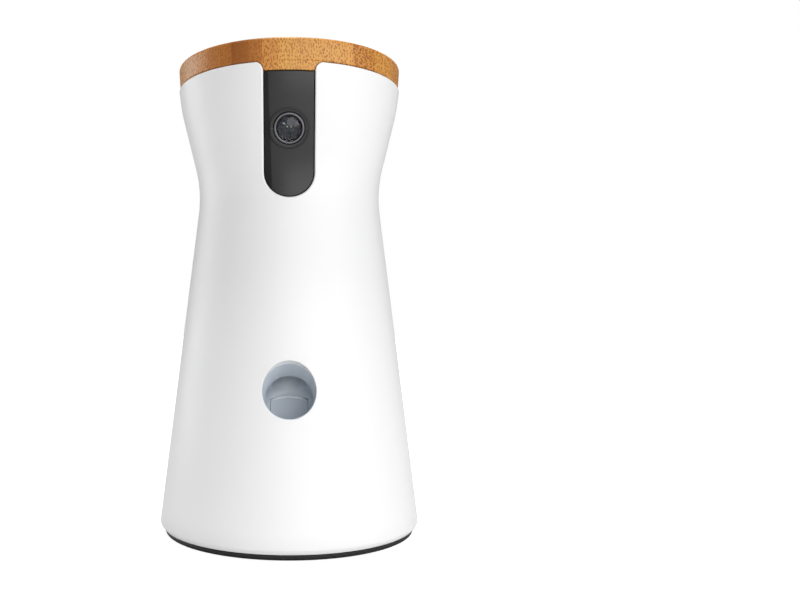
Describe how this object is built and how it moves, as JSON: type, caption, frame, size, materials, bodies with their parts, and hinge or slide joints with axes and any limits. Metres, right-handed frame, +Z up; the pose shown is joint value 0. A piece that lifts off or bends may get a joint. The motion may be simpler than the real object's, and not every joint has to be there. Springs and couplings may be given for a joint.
{
  "type": "treat tossing pet camera",
  "caption": "Round hourglass pet camera on a turning base, with a wooden lid over a treat hopper, a lens in a dark slot panel and a low round mouth that throws treats.",
  "frame": {"origin": "centre of the round base on the surface that it stands on", "axes": "+Z up along the turning axis, -Y towards the front with the lens and the mouth, +X to the right seen from the front"},
  "size_m": [0.1236, 0.1236, 0.22],
  "materials": {
    "white_plastic": "satin white moulded shell",
    "bamboo": "speckled end grain, clear matt lacquer",
    "panel_black": "satin charcoal",
    "soft_black": "fine matt black",
    "inner_grey": "matt dark grey",
    "chute_grey": "smooth cool grey",
    "rubber_black": "matt black rubber",
    "silicone": "translucent silicone",
    "light_diffuser": "clear diffuser",
    "steel": "plain steel",
    "motor_metal": "plated can",
    "ring_metal": "dark anodised ring",
    "acetal": "natural acetal",
    "board_green": "solder mask",
    "lens_glass": "coated glass",
    "cable_grey": "sleeved cable"
  },
  "bodies": {
    "base": {"foot_ring": "rubber_black", "bottom_cover": "soft_black", "light_ring": "light_diffuser", "base_tray": "soft_black", "ballast_plate": "steel", "base_board": "board_green", "usb_socket": "steel", "base_harness": "cable_grey", "reset_switch": "soft_black", "base_screw_1": "steel", "base_screw_2": "steel", "base_screw_3": "steel", "pan_gear": "acetal", "thrust_washer": "steel", "glide_ring": "acetal", "hub_retainer": "steel"},
    "turret": {"outer_shell": "white_plastic", "turntable": "soft_black", "camera_panel": "panel_black", "lens_bezel": "soft_black", "lens_ring": "ring_metal", "lens_glass": "lens_glass", "lens_barrel": "soft_black", "camera_holder": "inner_grey", "camera_board": "board_green", "hopper": "inner_grey", "hopper_floor": "inner_grey", "hopper_baffle": "inner_grey", "treat_chute": "chute_grey", "launcher_frame": "soft_black", "paddle_pin": "steel", "cam_axle": "steel", "toss_motor": "motor_metal", "toss_spring": "steel", "pan_motor": "motor_metal", "wheel_motor": "motor_metal", "main_board": "board_green", "speaker": "soft_black", "body_harness": "cable_grey", "frame_post_1": "steel", "frame_post_2": "steel", "frame_post_3": "steel", "frame_post_4": "steel"},
    "pan_pinion": {"pan_pinion": "acetal"},
    "treat_wheel": {"treat_wheel": "acetal"},
    "launch_paddle": {"launch_paddle": "chute_grey"},
    "cam_gear": {"cam_gear": "acetal"},
    "toss_pinion": {"toss_pinion": "acetal"},
    "lid": {"lid": "bamboo", "lid_seal": "silicone"},
    "reset_button": {"reset_button": "inner_grey"}
  },
  "joints": [
    {"name": "pan", "type": "hinge", "parent": "base", "child": "turret", "pos_m": [0, 0, 0.017], "axis": [0, 0, 1], "range_deg": [-175, 175]},
    {"name": "pan_pinion_spin", "type": "hinge", "parent": "turret", "child": "pan_pinion", "pos_m": [0, 0.02625, 0.0117], "axis": [0, 0, 1], "range_deg": [-437.5, 437.5]},
    {"name": "wheel_turn", "type": "hinge", "parent": "turret", "child": "treat_wheel", "pos_m": [0, 0.008, 0.1402], "axis": [0, 0, 1], "continuous": true},
    {"name": "cam_turn", "type": "hinge", "parent": "turret", "child": "cam_gear", "pos_m": [0, -0.018, 0.03601], "axis": [1, 0, 0], "range_deg": [0, 300]},
    {"name": "paddle_swing", "type": "hinge", "parent": "turret", "child": "launch_paddle", "pos_m": [0, -0.0325, 0.04451], "axis": [-1, 0, 0], "range_deg": [0, 40]},
    {"name": "toss_pinion_spin", "type": "hinge", "parent": "turret", "child": "toss_pinion", "pos_m": [0, -0.00221, 0.04175], "axis": [1, 0, 0], "range_deg": [-750, 0]},
    {"name": "lid_lift", "type": "slide", "parent": "turret", "child": "lid", "axis": [0, 0, 1], "range_m": [0, 0.06]},
    {"name": "reset_press", "type": "slide", "parent": "base", "child": "reset_button", "axis": [0, 0, 1], "range_m": [0, 0.0008], "stiffness_N_per_m": 300}
  ],
  "couplings": [
    {"joint": "pan_pinion_spin", "follows": "pan", "ratio": 2.5},
    {"joint": "paddle_swing", "follows": "cam_turn", "ratio": 0.13333},
    {"joint": "toss_pinion_spin", "follows": "cam_turn", "ratio": -2.5}
  ]
}
